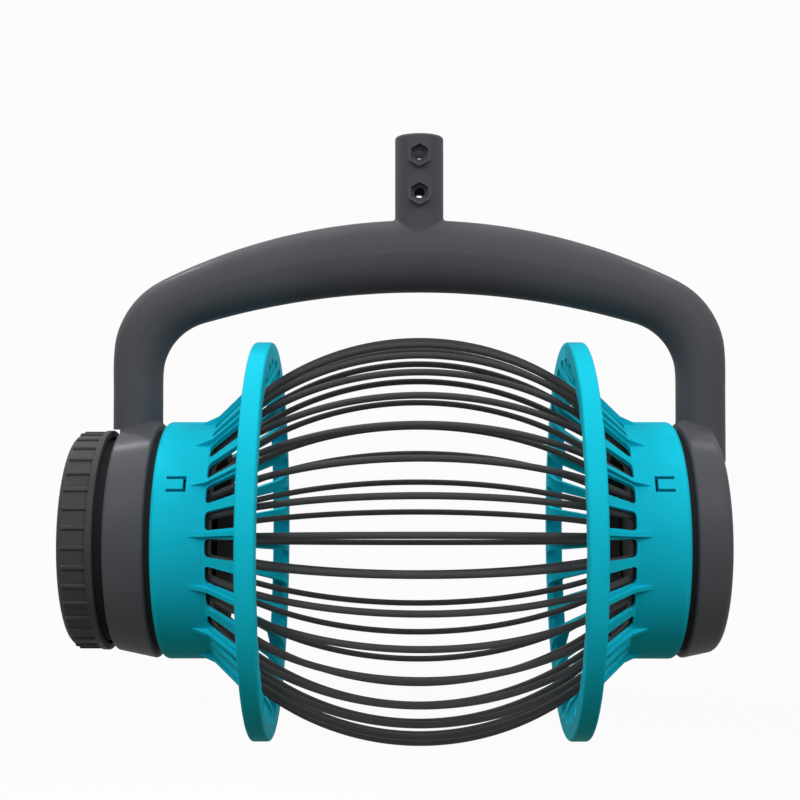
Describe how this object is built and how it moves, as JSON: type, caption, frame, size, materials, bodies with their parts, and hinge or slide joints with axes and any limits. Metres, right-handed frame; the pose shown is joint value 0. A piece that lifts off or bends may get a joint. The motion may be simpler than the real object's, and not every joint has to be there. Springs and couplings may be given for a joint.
{
  "type": "rolling nut collector head",
  "caption": "Rolling nut collector head: a cage of springy rods between slotted hubs turns in a bowed yoke with a pole socket, and a screw cap closes the emptying spout.",
  "frame": {"origin": "middle of the pole socket's mouth", "axes": "+Z out of the socket along the pole, +X along the roller axis away from the screw cap, -Y towards the side with the nut pockets"},
  "size_m": [0.321, 0.1992, 0.3002],
  "materials": {
    "grey_plastic": "fine satin moulded",
    "cap_plastic": "fine satin moulded",
    "teal_plastic": "satin moulded",
    "rod_nylon": "drawn nylon, satin",
    "ring_plastic": "matte moulded",
    "black_rubber": "matte"
  },
  "bodies": {
    "yoke": {"yoke": "grey_plastic", "outlet_spout": "ring_plastic", "journal_plug": "ring_plastic"},
    "cage": {"left_hub": "teal_plastic", "right_hub": "teal_plastic", "left_wire_ring": "ring_plastic", "right_wire_ring": "ring_plastic", "wire_01": "rod_nylon", "wire_02": "rod_nylon", "wire_03": "rod_nylon", "wire_04": "rod_nylon", "wire_05": "rod_nylon", "wire_06": "rod_nylon", "wire_07": "rod_nylon", "wire_08": "rod_nylon", "wire_09": "rod_nylon", "wire_10": "rod_nylon", "wire_11": "rod_nylon", "wire_12": "rod_nylon", "wire_13": "rod_nylon", "wire_14": "rod_nylon", "wire_15": "rod_nylon", "wire_16": "rod_nylon", "wire_17": "rod_nylon", "wire_18": "rod_nylon", "wire_19": "rod_nylon", "wire_20": "rod_nylon", "wire_21": "rod_nylon", "wire_22": "rod_nylon", "wire_23": "rod_nylon", "wire_24": "rod_nylon", "wire_25": "rod_nylon", "wire_26": "rod_nylon", "wire_27": "rod_nylon", "wire_28": "rod_nylon", "wire_29": "rod_nylon", "wire_30": "rod_nylon", "wire_31": "rod_nylon", "wire_32": "rod_nylon", "wire_33": "rod_nylon", "wire_34": "rod_nylon", "wire_35": "rod_nylon", "wire_36": "rod_nylon"},
    "cap_ring": {"cap_friction_ring": "black_rubber"},
    "end_cap": {"end_cap": "cap_plastic"}
  },
  "joints": [
    {"name": "cage_spin", "type": "hinge", "parent": "yoke", "child": "cage", "pos_m": [0, 0, -0.2006], "axis": [1, 0, 0], "continuous": true},
    {"name": "cap_lift", "type": "slide", "parent": "yoke", "child": "cap_ring", "axis": [-1, 0, 0], "range_m": [0, 0.012]},
    {"name": "cap_turn", "type": "hinge", "parent": "cap_ring", "child": "end_cap", "pos_m": [-0.16, 0, -0.2006], "axis": [-1, 0, 0], "range_deg": [0, 720]}
  ],
  "couplings": [
    {"joint": "cap_lift", "follows": "cap_turn", "m_per_rad": 0.00095492}
  ]
}
